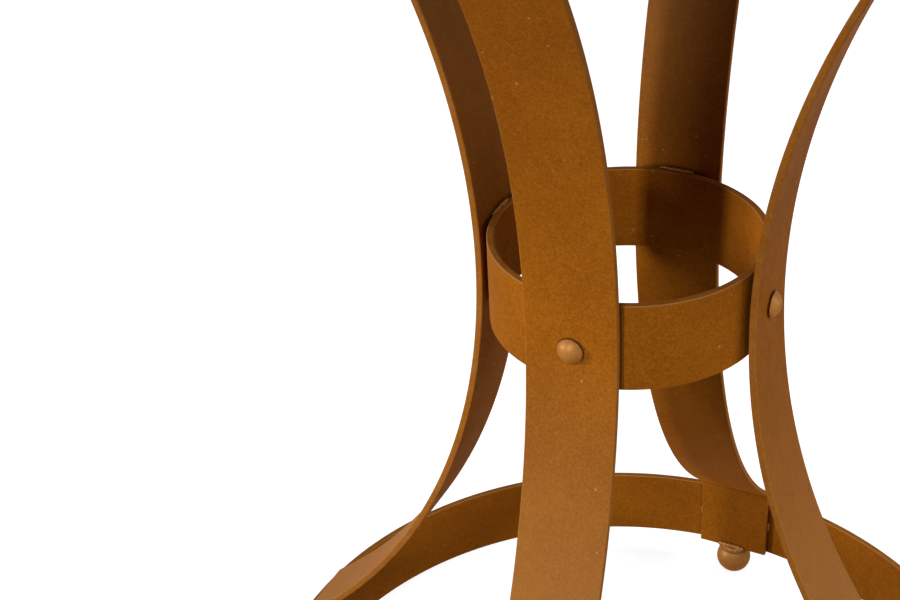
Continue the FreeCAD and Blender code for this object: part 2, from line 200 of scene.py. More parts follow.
both = add_node(tree, "ShaderNodeAddShader", None, {0: glow, 1: matt})
add_node(tree, "ShaderNodeOutputMaterial", None, {"Surface": both})
floor_mesh.materials.append(sheet)
print("floor laid, %.0f m across" % (2 * floor_half))

# %% [markdown]
# ## Lamps and world
# The photograph shows where its light came from. The front leg throws an upright shadow with
# clean sides across the inside of the waist ring and the end of the rear leg, so a tall narrow
# lamp stands well off in front of that leg. A second, small one is nearer, higher and a little
# more to the right. The outer face of the left leg is lit by a lamp that stands low at the left,
# and the right leg by a broad one at the right. The lower ends are brighter than the waist,
# because light from above reaches them past the top. Hardly any light comes from all round, so
# the inner faces stay dark.

# %% Hang the lamps
def hang_lamp(name, azimuth, elevation, distance, width, height, watts):
    """A white soft box that looks at the waist of the table, azimuth measured from +X."""
    data = bpy.data.lights.new(name, "AREA")
    data.shape = "RECTANGLE"
    data.size, data.size_y = width, height
    data.energy = watts
    lamp = put_in_scene(name, data)
    a, e = math.radians(azimuth), math.radians(elevation)
    away = Vector((math.cos(a) * math.cos(e), math.sin(a) * math.cos(e), math.sin(e)))
    aim = Vector((0, 0, waist_z))
    turn = away.to_track_quat("Z", "Y").to_matrix().to_4x4()
    lamp.matrix_world = Matrix.Translation(aim + distance * away) @ turn
    lamp.visible_camera = False


# Each line gives degrees round, degrees up, metres away, width, height and watts.
hang_lamp("front_strip", 222.3, 26, 4.5, 0.2, 1.4, 86)
hang_lamp("key", 234, 42, 2.6, 0.3, 0.3, 16)
hang_lamp("low_left", 167, 12, 2.6, 0.5, 0.5, 42)
hang_lamp("right", 325, 11, 2.6, 1.6, 1.6, 20)
hang_lamp("overhead", 320, 57, 2.6, 1.6, 1.6, 44)

soft_fill = 0.03
world = bpy.data.worlds.new("studio_world")
bpy.context.scene.world = world
world.use_nodes = True
tree = world.node_tree
tree.nodes.clear()
level = add_node(tree, "ShaderNodeMapRange", None, {
    "Value": white_rays(tree), "To Min": soft_fill, "To Max": 1.0})
sky = add_node(tree, "ShaderNodeBackground", None, {"Color": (1, 1, 1, 1), "Strength": level})
add_node(tree, "ShaderNodeOutputWorld", None, {"Surface": sky})
print("five lamps and an even world")

# %% [markdown]
# ## The finish of the iron
# The bars are hot-rolled steel under a rust-brown patina paint. It is matt, so it has no mirror
# image, only a broad soft sheen. Several things give it life: slow clouds where the coat is
# thicker or thinner, a fine grain from the sprayed coat, a paler layer of dust and painted sheen
# on the slopes that look up, painted shade on the faces that look straight up, edges that are
# lighter, partly from rubbing and partly as a painted highlight, painted shade in the lines where
# pieces meet, and a few chips the size of a pinhead, single or in small groups. Rivet heads, balls
# and welds stand proud, so they are rubbed paler all over. The grain is about 0.5 mm on the real
# bar; it is drawn at 1.5 mm so that it still shows in a picture 900 pixels wide.
#
# Every finish below is painted in layers, as a decorator would: a ground colour, then other
# colours where a pattern is strong. One step adds a layer: it stretches the pattern to a mask and
# mixes the new colour in through it.


# %% Start a material
def new_material(name):
    """A material with an empty tree, that tree, and the place on the object."""
    material = bpy.data.materials.new(name)
    material.use_nodes = True
    tree = material.node_tree
    tree.nodes.clear()
    return material, tree, (add_node(tree, "ShaderNodeTexCoord"), "Object")


def layer(tree, below, hex_colour, pattern, low, high, most=1.0):
    """One more colour, over what lies below, where a pattern rises from low to high."""
    mask = add_node(tree, "ShaderNodeMapRange", None, {
        "Value": pattern, "From Min": low, "From Max": high, "To Max": most})
    return add_node(tree, "ShaderNodeMix", {"data_type": "RGBA"},
                    {"Factor": mask, "A": below, "B": linear(hex_colour)})


def end_material(tree, sockets):
    """A Principled surface with these sockets closes a material's tree."""
    surface = add_node(tree, "ShaderNodeBsdfPrincipled", None, sockets)
    add_node(tree, "ShaderNodeOutputMaterial", None, {"Surface": surface})


print("materials can be started, layered and closed")

# %% Mix the patina
patina, tree, place = new_material("rust_brown_patina_on_hot_rolled_iron")
clouds, mottle, grain = [
    add_node(tree, "ShaderNodeTexNoise", None, {
        "Vector": place, "Scale": 1 / size, "Detail": detail, "Roughness": roughness})
    for size, detail, roughness in ((70 * mm, 3.0, 0.5), (7 * mm, 3.0, 0.6), (1.5 * mm, 1.0, 0.5))]
coat = layer(tree, linear("#8E4F0E"), "#9A5911", clouds, 0.35, 0.65)
coat = layer(tree, coat, "#7C450C", mottle, 0.45, 0.7, 0.3)
coat = layer(tree, coat, "#5E3208", grain, 0.5, 0.3, 0.27)
coat = layer(tree, coat, "#B87C30", grain, 0.54, 0.72, 0.2)

# Dust and painted sheen of light from above: none on an upright face, most on a slope that looks up,
# and none on a face that looks straight up, which gets painted shade instead.
facing = add_node(tree, "ShaderNodeSeparateXYZ", None, {"Vector": (place[0], "Normal")})
not_flat_top = add_node(tree, "ShaderNodeMapRange", None, {
    "Value": (facing, "Z"), "From Min": 0.8, "From Max": 0.95, "To Min": 1.0, "To Max": 0.0})
dust_and_sheen_from_above = add_node(tree, "ShaderNodeMath", {"operation": "MULTIPLY"}, {0: (facing, "Z"), 1: not_flat_top})
coat = layer(tree, coat, "#A67C4E", dust_and_sheen_from_above, 0.0, 0.6, 0.5)
# Painted shade: faces that look straight up, such as the narrow tops of the rings, are darker.
coat = layer(tree, coat, "#4E3110", (facing, "Z"), 0.9, 1.0, 0.5)

# Lighter edges, partly rubbed wear and partly a painted highlight on the rounded edges: the section
# remembers how far across the bar each point lies. What stands proud is rubbed all over.
section = add_node(tree, "ShaderNodeAttribute", {"attribute_name": "section_place"})
across = add_node(tree, "ShaderNodeSeparateXYZ", None, {"Vector": (section, "Vector")})
edge_distance = add_node(tree, "ShaderNodeMath", {"operation": "ABSOLUTE"}, {0: (across, "Y")})
at_edge = add_node(tree, "ShaderNodeMapRange", None, {
    "Value": edge_distance, "From Min": bar_width / 2 - 1.2 * mm,
    "From Max": bar_width / 2 - 0.3 * mm})
rubbed_and_highlit_edges = add_node(tree, "ShaderNodeMath", {"operation": "MULTIPLY"}, {0: at_edge, 1: mottle})
coat = layer(tree, coat, "#B07A40", rubbed_and_highlit_edges, 0.2, 0.7, 0.4)
proud = add_node(tree, "ShaderNodeAttribute", {"attribute_name": "stands_proud"})
coat = layer(tree, coat, "#B4854F", (proud, "Fac"), 0.0, 1.0, 0.28)

# Painted shade: ambient occlusion darkens the line where one piece meets another, as a contact
# shadow would.
painted_crevice_shade = add_node(tree, "ShaderNodeAmbientOcclusion", {"samples": 8}, {"Distance": 4 * mm})
coat = layer(tree, coat, "#3A1E06", (painted_crevice_shade, "AO"), 0.85, 0.5, 0.75)

# Chips: cells with a small ragged spot each, of which few are kept, and more inside a group.
ragged = add_node(tree, "ShaderNodeVectorMath", {"operation": "SCALE"},
                  {0: (grain, "Color"), "Scale": 1.6 * mm})
ragged = add_node(tree, "ShaderNodeVectorMath", {"operation": "ADD"}, {0: place, 1: ragged})
cells = add_node(tree, "ShaderNodeTexVoronoi", None, {"Vector": ragged, "Scale": 1 / (7 * mm)})
chance = add_node(tree, "ShaderNodeSeparateColor", None, {"Color": (cells, "Color")})
groups = add_node(tree, "ShaderNodeTexNoise", None, {
    "Vector": place, "Scale": 1 / (38 * mm), "Detail": 1.0})
grouped = add_node(tree, "ShaderNodeMapRange", None, {
    "Value": groups, "From Min": 0.58, "From Max": 0.66, "To Max": 0.4})
likely = add_node(tree, "ShaderNodeMath", {"operation": "ADD"}, {0: (chance, "Red"), 1: grouped})
kept = add_node(tree, "ShaderNodeMath", {"operation": "GREATER_THAN"}, {0: likely, 1: 0.93})
spot = add_node(tree, "ShaderNodeMapRange", None, {
    "Value": (cells, "Distance"), "From Min": 0.13, "From Max": 0.05})
chips = add_node(tree, "ShaderNodeMath", {"operation": "MULTIPLY"}, {0: spot, 1: kept})
coat = layer(tree, coat, "#C2945C", chips, 0.0, 1.0, 0.65)

# The coat is matt. On what stands proud it is worn thin and polished, so some metal shines through.
gloss = add_node(tree, "ShaderNodeMapRange", None, {
    "Value": mottle, "From Min": 0.3, "From Max": 0.7, "To Min": 0.62, "To Max": 0.72})
gloss = add_node(tree, "ShaderNodeMapRange", None, {
    "Value": (proud, "Fac"), "To Min": gloss, "To Max": 0.47})
bare = add_node(tree, "ShaderNodeMapRange", None, {"Value": (proud, "Fac"), "To Max": 0.3})
bump = add_node(tree, "ShaderNodeBump", None, {
    "Strength": 0.3, "Distance": 0.06 * mm, "Height": grain})
end_material(tree, {
    "Base Color": coat, "Metallic": bare, "Roughness": gloss, "Specular IOR Level": 0.03,
    "Specular Tint": linear("#FFD9A0"), "Sheen Weight": 0.2, "Sheen Roughness": 0.5,
    "Sheen Tint": linear("#E08020"), "Normal": bump})
print("patina mixed with", len(tree.nodes), "nodes")

# %% [markdown]
# ## A tree that rolls flat bar
# Legs and rings are all the same flat bar that follows a line. In Blender a mesh could be bent by
# hand, or a curve could be given a bevel. Geometry Nodes keep both the line and the section as
# numbers: the object's own mesh is the line, and a rounded rectangle is swept along it. A
# hot-rolled bar has no sharp corner, so the rectangle is filleted. Each point of the section also
# remembers where it lies across the bar, and the patina reads that to make the edges lighter,
# partly as rubbed wear and partly as a painted highlight.


# %% Build the rolled-bar tree
def new_tree(name, sizes):
    """A Geometry Nodes tree with named inputs, and the node that gives them."""
    tree = bpy.data.node_groups.new(name, "GeometryNodeTree")
    tree.interface.new_socket("Geometry", in_out="OUTPUT", socket_type="NodeSocketGeometry")
    tree.interface.new_socket("Geometry", in_out="INPUT", socket_type="NodeSocketGeometry")
    for size_name, kind in sizes.items():
        tree.interface.new_socket(size_name, in_out="INPUT", socket_type="NodeSocket" + kind)
    return tree, add_node(tree, "NodeGroupInput")


def end_tree(tree, geometry, given):
    """Realize Instances and Set Material close every tree, because an export drops instances."""
    real = add_node(tree, "GeometryNodeRealizeInstances", None, {"Geometry": geometry})
    dressed = add_node(tree, "GeometryNodeSetMaterial", None,
                       {"Geometry": real, "Material": (given, "Material")})
    add_node(tree, "NodeGroupOutput", None, {"Geometry": dressed})


rolled_bar, given = new_tree("rolled_flat_bar", {
    "Bar width": "Float", "Bar thickness": "Float", "Edge radius": "Float", "Material": "Material"})
line = add_node(rolled_bar, "GeometryNodeMeshToCurve", None, {"Mesh": (given, "Geometry")})
blank = add_node(rolled_bar, "GeometryNodeCurvePrimitiveQuadrilateral", None,
                 {"Width": (given, "Bar thickness"), "Height": (given, "Bar width")})
section = add_node(rolled_bar, "GeometryNodeFilletCurve", {"mode": "POLY"},
                   {"Curve": blank, "Count": 4, "Radius": (given, "Edge radius")})
here = add_node(rolled_bar, "GeometryNodeInputPosition")
marked = add_node(rolled_bar, "GeometryNodeStoreNamedAttribute", {"data_type": "FLOAT_VECTOR"},
                  {"Geometry": section, "Name": "section_place", "Value": here})
bar = add_node(rolled_bar, "GeometryNodeCurveToMesh", None,
               {"Curve": line, "Profile Curve": marked, "Fill Caps": True})
end_tree(rolled_bar, bar, given)
print("rolled-bar tree has", len(rolled_bar.nodes), "nodes")


# %% [markdown]
# ## From tree to plain mesh
# A modifier shows its result, but the export wants the real thing. So each line gets the modifier,
# Blender evaluates it once, and the result becomes a plain mesh. Doubled points are merged, the
# shading is set smooth except across sharp corners, and the normals are weighted by face size,
# which keeps the broad flats of a bar flat beside its small round edges.

# %% Turn a tree's result into a piece
def settle(mesh, sharp_degrees=35):
    """Merge doubles, point the faces outwards, and smooth all but the sharp corners."""
    work = bmesh.new()
    work.from_mesh(mesh)
    bmesh.ops.remove_doubles(work, verts=work.verts, dist=0.002 * mm)
    bmesh.ops.recalc_face_normals(work, faces=work.faces)
    for face in work.faces:
        face.smooth = True
    sharp = math.radians(sharp_degrees)
    for edge in work.edges:
        edge.smooth = len(edge.link_faces) == 2 and edge.calc_face_angle() < sharp
    work.to_mesh(mesh)
    work.free()


def plain_mesh(source, name):
    """What an object with modifiers looks like, as an object with a mesh and no modifiers."""
    graph = bpy.context.evaluated_depsgraph_get()
    mesh = bpy.data.meshes.new_from_object(
        source.evaluated_get(graph), preserve_all_data_layers=True, depsgraph=graph)
    mesh.name = name
    piece = put_in_scene(name, mesh)
    bpy.data.objects.remove(source)
    return piece


def weighted(piece):
    """Normals weighted by face area, written into the mesh."""
    modifier = piece.modifiers.new("weighted_normals", "WEIGHTED_NORMAL")
    modifier.keep_sharp = True
    name = piece.name
    piece.name = name + "_raw"
    return plain_mesh(piece, name)


def grow(name, source_mesh, tree, sizes, sharp_degrees=35):
    """Run a tree on a mesh, with its inputs set by identifier, and keep the plain result."""
    source = put_in_scene(name + "_line", source_mesh)
    modifier = source.modifiers.new(tree.name, "NODES")
    modifier.node_group = tree
    for item in tree.interface.items_tree:
        if item.in_out == "INPUT" and item.name in sizes:
            modifier[item.identifier] = sizes[item.name]
    piece = plain_mesh(source, name + "_grown")
    settle(piece.data, sharp_degrees)
    piece.name = name
    return weighted(piece)


def carry(piece, slot, *node_names):
    """The piece stands for these CAD nodes and rides on the table; the slot is not used."""
    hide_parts(*node_names)
    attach(piece, "root")
    low, high = piece.bound_box[0], piece.bound_box[6]
    print("%s: %d faces, z %.2f to %.2f mm" % (
        piece.name, len(piece.data.polygons), low[2] / mm, high[2] / mm))


# %% [markdown]
# ## The legs
# Each leg is one length of bar with no break in it: an upright end inside the base ring, a tight
# bend, the long arc that swings in to the waist and out again, a second tight bend, and an upright
# end inside the top ring. Where the long arc meets each bend, both run in the same direction, so
# the line is smooth. The radii and the two rings fix everything: the end must reach just inside
# its ring, and the arc must touch the waist ring at its middle.

# %% Draw the line of a leg
ring_fit = 0.15 * mm
base_inner = base_high.x - bar_thickness
top_inner = top_high.x - bar_thickness
arc_centre_r = waist_radius + leg_arc_radius
middle_arc_radius = leg_arc_radius - bar_thickness / 2
middle_bend_radius = bend_inside_radius + bar_thickness / 2


def leg_end(ring_inner):
    """Radius of the middle of the bar at an end that stands inside a ring."""
    return math.sqrt(ring_inner ** 2 - (bar_width / 2) ** 2) - ring_fit - bar_thickness / 2


def bend_centre(end_r, side):
    """Centre of an end bend in the leg's plane; side is -1 below the waist and 1 above."""
    r = end_r - middle_bend_radius
    reach = middle_arc_radius + middle_bend_radius
    return r, waist_z + side * math.sqrt(reach ** 2 - (arc_centre_r - r) ** 2)


def arc_points(centre, radius, start, end, count):
    """Points along an arc in the leg's plane."""
    angles = [start + (end - start) * i / count for i in range(count + 1)]
    return [(centre[0] + radius * math.cos(a), centre[1] + radius * math.sin(a)) for a in angles]


low_r, high_r = leg_end(base_inner), leg_end(top_inner)
low_bend, high_bend = bend_centre(low_r, -1), bend_centre(high_r, 1)
low_slope = math.atan2(waist_z - low_bend[1], arc_centre_r - low_bend[0])
high_slope = math.atan2(high_bend[1] - waist_z, arc_centre_r - high_bend[0])

bend_steps, arc_steps = 14, 220
leg_line = [(low_r, base_low.z)]
leg_line += arc_points(low_bend, middle_bend_radius, 0, low_slope, bend_steps)
leg_line += arc_points((arc_centre_r, waist_z), middle_arc_radius,
                       math.pi + low_slope, math.pi - high_slope, arc_steps)[1:]
leg_line += arc_points(high_bend, middle_bend_radius, -high_slope, 0, bend_steps)[1:]
leg_line += [(high_r, top_high.z)]
print("leg line: %d points, bend at %.2f mm and %.2f mm" % (
    len(leg_line), low_bend[1] / mm, high_bend[1] / mm))


# %% Roll the four legs
def line_mesh(name, points, closed=False):
    """A mesh of points joined by edges, for a tree to follow."""
    mesh = bpy.data.meshes.new(name)
    edges = [(i, i + 1) for i in range(len(points) - 1)]
    if closed:
        edges.append((len(points) - 1, 0))
    mesh.from_pydata(points, edges, [])
    return mesh


def leg_angle(index):
    """How far round the table a leg stands."""
    return first_leg_angle + index * math.pi / 2


bar_sizes = {"Bar width": bar_width, "Bar thickness": bar_thickness, "Edge radius": 0.7 * mm,
             "Material": patina}
for index, side in enumerate(leg_sides):
    upright = line_mesh("leg_line_" + side, [(r, 0, z) for r, z in leg_line])
    leg = grow("leg_bar_" + side, upright, rolled_bar, bar_sizes)
    leg.data.transform(Matrix.Rotation(leg_angle(index), 4, "Z"))
    carry(leg, "rust_iron", "leg_" + side)


# %% [markdown]
# ## The three rings
# The rings are the same bar on edge, rolled to a full circle. The same tree makes them: only the
# line changes, from an open leg line to a closed circle.

# %% Roll the rings
def circle_points(radius, z, count):
    """Points evenly spaced round a level circle."""
    turns = [2 * math.pi * i / count for i in range(count)]
    return [(radius * math.cos(a), radius * math.sin(a), z) for a in turns]


round_steps = 256
for name, low, high in (("waist_ring", waist_low, waist_high), ("base_ring", base_low, base_high),
                        ("top_ring", top_low, top_high)):
    middle_radius = high.x - bar_thickness / 2
    points = circle_points(middle_radius, (low.z + high.z) / 2, round_steps)
    ring = grow(name + "_bar", line_mesh(name + "_line", points, True), rolled_bar, bar_sizes)
    carry(ring, "rust_iron", name)

# %% [markdown]
# ## A tree that sets parts out round the table
# Rivets, feet and screws repeat round the upright axis. One of each is turned on a lathe, at its
# place on the +X side, and a second tree copies it round. After the copies are made real, a soft
# noise pushes the surface in and out by a fraction of a millimetre. It reads the place in the
# room, so no two copies are alike, just as no two hand-set rivets are.


# %% Build the setting-out tree
def push_by_noise(tree, geometry, given):
    """Moves points along their normals by soft noise, as much as the tree's inputs say."""
    per_metre = add_node(tree, "ShaderNodeMath", {"operation": "DIVIDE"},
                         {0: 1.0, 1: (given, "Lump size")})
    lumps = add_node(tree, "ShaderNodeTexNoise", None, {"Scale": per_metre, "Detail": 2.0})
    amount = (lumps, "Fac")
    for operation, other in (("SUBTRACT", 0.5), ("MULTIPLY", 2.0),
                             ("MULTIPLY", (given, "Unevenness"))):
        amount = add_node(tree, "ShaderNodeMath", {"operation": operation}, {0: amount, 1: other})
    normal = add_node(tree, "GeometryNodeInputNormal")
    push = add_node(tree, "ShaderNodeVectorMath", {"operation": "SCALE"},
                    {0: normal, "Scale": amount})
    return add_node(tree, "GeometryNodeSetPosition", None, {"Geometry": geometry, "Offset": push})


def copy_round_axis(tree, geometry, given):
    """Copies of a geometry about the table's axis, made real. All but what lies inside the waist
    ring, where rivet tails are filed flush, is marked as standing proud."""
    places = add_node(tree, "GeometryNodeMeshLine", None,
                      {"Count": (given, "Count"), "Offset": (0, 0, 0)})
    number = add_node(tree, "GeometryNodeInputIndex")
    step = add_node(tree, "ShaderNodeMath", {"operation": "DIVIDE"},
                    {0: 2 * math.pi, 1: (given, "Count")})
    angle = add_node(tree, "ShaderNodeMath", {"operation": "MULTIPLY_ADD"},
                     {0: number, 1: step, 2: (given, "First angle")})
    turn = add_node(tree, "FunctionNodeAxisAngleToRotation", None,
                    {"Axis": (0, 0, 1), "Angle": angle})
    here = add_node(tree, "GeometryNodeInputPosition")
    here = add_node(tree, "ShaderNodeSeparateXYZ", None, {"Vector": here})
    outside = add_node(tree, "ShaderNodeMapRange", None, {
        "Value": (here, "X"), "From Min": waist_radius - 2.5 * mm, "From Max": waist_radius - mm})
    marked = add_node(tree, "GeometryNodeStoreNamedAttribute", {"data_type": "FLOAT"},
                      {"Geometry": geometry, "Name": "stands_proud", "Value": outside})
    copies = add_node(tree, "GeometryNodeInstanceOnPoints", None,
                      {"Points": places, "Instance": marked, "Rotation": turn})
    return add_node(tree, "GeometryNodeRealizeInstances", None, {"Geometry": copies})


set_out, given = new_tree("set_out_round_the_axis", {
    "Count": "Int", "First angle": "Float", "Unevenness": "Float", "Lump size": "Float",
    "Material": "Material"})
copies = copy_round_axis(set_out, (given, "Geometry"), given)
end_tree(set_out, push_by_noise(set_out, copies, given), given)
print("setting-out tree has", len(set_out.nodes), "nodes")


# %% Define the lathe
def turned_mesh(name, profile, steps, closed=False):
    """A closed solid turned about Z from (radius, height) pairs. An open profile starts and ends
    on the axis; a closed one is a section that never touches it."""
    points, faces, rows = [], [], []
    for radius, height in profile:
        if radius == 0:
            rows.append([len(points)] * steps)
            points.append((0, 0, height))
            continue
        rows.append([len(points) + i for i in range(steps)])
        points += circle_points(radius, height, steps)
    pairs = list(zip(rows, rows[1:])) + ([(rows[-1], rows[0])] if closed else [])
    for low, high in pairs:
        for i in range(steps):
            j = (i + 1) % steps
            face = [low[i], low[j], high[j], high[i]]
            face = [v for k, v in enumerate(face) if v != face[k - 1]]
            if len(face) > 2:
                faces.append(face)
    mesh = bpy.data.meshes.new(name)
    mesh.from_pydata(points, [], faces)
    return mesh


print("the lathe is ready")

# %% [markdown]
# ## Rivets
# A rivet is a pin with a round head. It goes in hot from outside, and its tail is hammered into a
# countersink inside the ring and filed flush. The head is nearly half a ball, 14 mm wide and
# 5.4 mm high. Its rim is rolled under, which draws a thin dark line where it meets the bar. The
# hammer leaves it a little out of round, which the noise supplies.

# %% Turn the rivets
rivet_low, rivet_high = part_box("waist_rivet_rear_right")
rivet_z = (rivet_low.z + rivet_high.z) / 2
head_radius, head_height, rolled_rim = (rivet_high.z - rivet_low.z) / 2, 5.4 * mm, 1.2 * mm
shank_radius, tail_radius, tail_depth = 3.95 * mm, 6.0 * mm, 2.2 * mm
head_seat = waist_radius + bar_thickness
tail_face = math.sqrt((waist_radius - bar_thickness) ** 2 - tail_radius ** 2)
undercut = 1.1 * mm
dome_height = head_height - rolled_rim
dome_radius = (head_radius ** 2 + dome_height ** 2) / (2 * dome_height)
rim_angle = math.asin((dome_radius - dome_height) / dome_radius)
dome_steps = 18

rivet_profile = [(0, tail_face), (tail_radius, tail_face), (shank_radius, tail_face + tail_depth),
                 (shank_radius, head_seat), (head_radius - undercut, head_seat),
                 (head_radius - 0.35 * mm, head_seat + 0.45 * mm),
                 (head_radius, head_seat + rolled_rim)]
for i in range(1, dome_steps + 1):
    angle = rim_angle + (math.pi / 2 - rim_angle) * i / dome_steps
    rivet_profile.append((dome_radius * math.cos(angle) if i < dome_steps else 0,
                          head_seat + head_height - dome_radius + dome_radius * math.sin(angle)))
rivet_blank = turned_mesh("rivet_blank", rivet_profile, 48)
rivet_blank.transform(Matrix.Translation((0, 0, rivet_z)) @ Matrix.Rotation(math.pi / 2, 4, "Y"))
rivets = grow("waist_rivets", rivet_blank, set_out, {
    "Count": 4, "First angle": first_leg_angle, "Unevenness": 0.28 * mm, "Lump size": 5 * mm,
    "Material": patina})
carry(rivets, "rust_iron", *["waist_rivet_" + side for side in leg_sides])

# %% [markdown]
# ## Ball feet
# Each foot is a 25 mm steel ball, of the kind sold for gates and railings. It is ground flat on
# top, where it is welded on, and worn a little flat below, where it stands.

# %% Turn the ball feet
ball_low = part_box("ball_foot_rear_right")[0]
ball_radius = 12.5 * mm
ball_centre_z = 12.1 * mm
foot_r = (low_r - bar_thickness / 2 + base_high.x) / 2
worn = -math.asin(ball_centre_z / ball_radius)
seated = math.asin((base_low.z - ball_centre_z) / ball_radius)
ball_steps = 32
ball_profile = [(0, 0)]
for i in range(ball_steps + 1):
    angle = worn + (seated - worn) * i / ball_steps
    ball_profile.append((ball_radius * math.cos(angle),
                         ball_centre_z + ball_radius * math.sin(angle)))
ball_profile.append((0, base_low.z))
ball_blank = turned_mesh("ball_blank", ball_profile, 56)
ball_blank.transform(Matrix.Translation((foot_r, 0, 0)))
balls = grow("ball_feet", ball_blank, set_out, {
    "Count": 4, "First angle": first_leg_angle, "Unevenness": 0.1 * mm, "Lump size": 6 * mm,
    "Material": patina})
for point in balls.data.vertices:
    point.co.z = max(point.co.z, ball_low.z)
carry(balls, "rust_iron", *["ball_foot_" + side for side in leg_sides])

# %% [markdown]
# ## A tree that lays weld beads
# A weld is metal that was laid down drop by drop. It shows as a low rope with ripples across it,
# thick in some places and thin in others, fatter where it began. It follows a line exactly, so
# Geometry Nodes suit it: a line is copied round the axis, cut into short steps, and a circle is
# swept along it whose size follows the ripples and a soft noise.

# %% Build the weld tree
weld, given = new_tree("weld_bead", {
    "Bead radius": "Float", "Ripple spacing": "Float", "Ripple depth": "Float",
    "End taper": "Float", "Count": "Int", "First angle": "Float", "Unevenness": "Float",
    "Lump size": "Float", "Material": "Material"})
lines = copy_round_axis(weld, (given, "Geometry"), given)
seam = add_node(weld, "GeometryNodeMeshToCurve", None, {"Mesh": lines})
step = add_node(weld, "ShaderNodeMath", {"operation": "DIVIDE"},
                {0: (given, "Ripple spacing"), 1: 6.0})
stepped = add_node(weld, "GeometryNodeResampleCurve", {"mode": "LENGTH"},
                   {"Curve": seam, "Length": step})

along = add_node(weld, "GeometryNodeSplineParameter")
phase = add_node(weld, "ShaderNodeMath", {"operation": "DIVIDE"},
                 {0: (along, "Length"), 1: (given, "Ripple spacing")})
phase = add_node(weld, "ShaderNodeMath", {"operation": "MULTIPLY"}, {0: phase, 1: math.pi})
wave = add_node(weld, "ShaderNodeMath", {"operation": "SINE"}, {0: phase})
wave = add_node(weld, "ShaderNodeMath", {"operation": "ABSOLUTE"}, {0: wave})
dip = add_node(weld, "ShaderNodeMath", {"operation": "SUBTRACT"}, {0: 1.0, 1: wave})
dip = add_node(weld, "ShaderNodeMath", {"operation": "MULTIPLY"},
               {0: dip, 1: (given, "Ripple depth")})
size = add_node(weld, "ShaderNodeMath", {"operation": "SUBTRACT"}, {0: 1.0, 1: dip})
to_end = add_node(weld, "ShaderNodeMath", {"operation": "SUBTRACT"},
                  {0: (along, "Factor"), 1: 0.5})
to_end = add_node(weld, "ShaderNodeMath", {"operation": "ABSOLUTE"}, {0: to_end})
fade = add_node(weld, "ShaderNodeMapRange", None, {
    "Value": to_end, "From Min": 0.3, "From Max": 0.5, "To Min": 0.0,
    "To Max": (given, "End taper")})
keep = add_node(weld, "ShaderNodeMath", {"operation": "SUBTRACT"}, {0: 1.0, 1: fade})
for factor in (keep, (given, "Bead radius")):
    size = add_node(weld, "ShaderNodeMath", {"operation": "MULTIPLY"}, {0: size, 1: factor})
round_section = add_node(weld, "GeometryNodeCurvePrimitiveCircle", None,
                         {"Resolution": 14, "Radius": 1.0})
bead = add_node(weld, "GeometryNodeCurveToMesh", None, {
    "Curve": stepped, "Profile Curve": (round_section, "Curve"), "Scale": size, "Fill Caps": True})
end_tree(weld, push_by_noise(weld, bead, given), given)
print("weld tree has", len(weld.nodes), "nodes")

# %% [markdown]
# ## The weld beads
# Six kinds of bead hold the iron. A lumpy collar joins each ball to the edges above it. A short
# bead lies on the waist ring's upper edge against each leg. Upright tacks hold the legs' ends in
# the base ring and the top ring. Beads under the four tabs hold them to the top ring, and beads
# on the rim's ledge hold the ends of the straps.


# %% Lay the weld beads
def lay(name, lines, node_name, radius, ripple, depth, taper, uneven, lump, first_angle):
    """Weld beads along some lines on the +X side, copied to all four places. Ripples are so far
    apart and so deep, the ends taper, and lumps of some size stand out unevenly."""
    mesh = bpy.data.meshes.new(name + "_lines")
    points, edges = [], []
    for line, closed in lines:
        start = len(points)
        points += line
        edges += [(start + i, start + i + 1) for i in range(len(line) - 1)]
        if closed:
            edges.append((len(points) - 1, start))
    mesh.from_pydata(points, edges, [])
    beads = grow(name, mesh, weld, {
        "Bead radius": radius, "Ripple spacing": ripple, "Ripple depth": depth, "End taper": taper,
        "Count": 4, "First angle": first_angle, "Unevenness": uneven, "Lump size": lump,
        "Material": patina}, 80)
    carry(beads, "rust_iron", node_name)


# The collar runs round the ball; a short second pass lies on the inner face of the leg's end.
collar_radius = 7.6 * mm
collar = [(foot_r + x, y, z)
          for x, y, z in circle_points(collar_radius, base_low.z - 0.9 * mm, 32)]
apron_x = low_r - bar_thickness / 2 - 0.2 * mm
apron = [(apron_x, -9 * mm, base_low.z + 0.4 * mm), (apron_x, 10.5 * mm, base_low.z + 1.2 * mm)]
lay("foot_weld_collars", [(collar, True), (apron, False)], "foot_welds",
    radius=2.5 * mm, ripple=3.2 * mm, depth=0.2, taper=0.3, uneven=0.8 * mm, lump=4.5 * mm,
    first_angle=first_leg_angle)


def level_line(x, half_length, z):
    """A level line across a leg, a tab or a strap."""
    return [([(x, -half_length, z), (x, half_length, z)], False)]


lay("waist_weld_beads", level_line(waist_radius - 0.6 * mm, 10 * mm, waist_high.z + 0.2 * mm),
    "waist_welds", radius=1.3 * mm, ripple=2.2 * mm, depth=0.3, taper=0.6, uneven=0.5 * mm,
    lump=3.5 * mm, first_angle=first_leg_angle)


def tack_lines(ring_inner, middle_z):
    """Upright lines between the edges of a leg's end and the wall of its ring."""
    y = bar_width / 2 + 0.4 * mm
    x = math.sqrt(ring_inner ** 2 - y ** 2) - 0.5 * mm
    return [([(x, side * y, middle_z - 4 * mm), (x, side * y, middle_z + 4 * mm)], False)
            for side in (-1, 1)]


for ring, inner, low, high in (("base_ring", base_inner, base_low, base_high),
                               ("top_ring", top_inner, top_low, top_high)):
    lay(ring + "_tacks", tack_lines(inner, (low.z + high.z) / 2), ring + "_welds",
        radius=1.3 * mm, ripple=2.4 * mm, depth=0.25, taper=0.5, uneven=0.4 * mm, lump=3 * mm,
        first_angle=first_leg_angle)

tab_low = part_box("mounting_tab_right")[0]
lay("tab_weld_beads", level_line(top_inner - 1.3 * mm, 10 * mm, tab_low.z - 0.3 * mm),
    "tab_welds", radius=1.9 * mm, ripple=2.4 * mm, depth=0.22, taper=0.4, uneven=0.4 * mm,
    lump=3 * mm, first_angle=0.0)

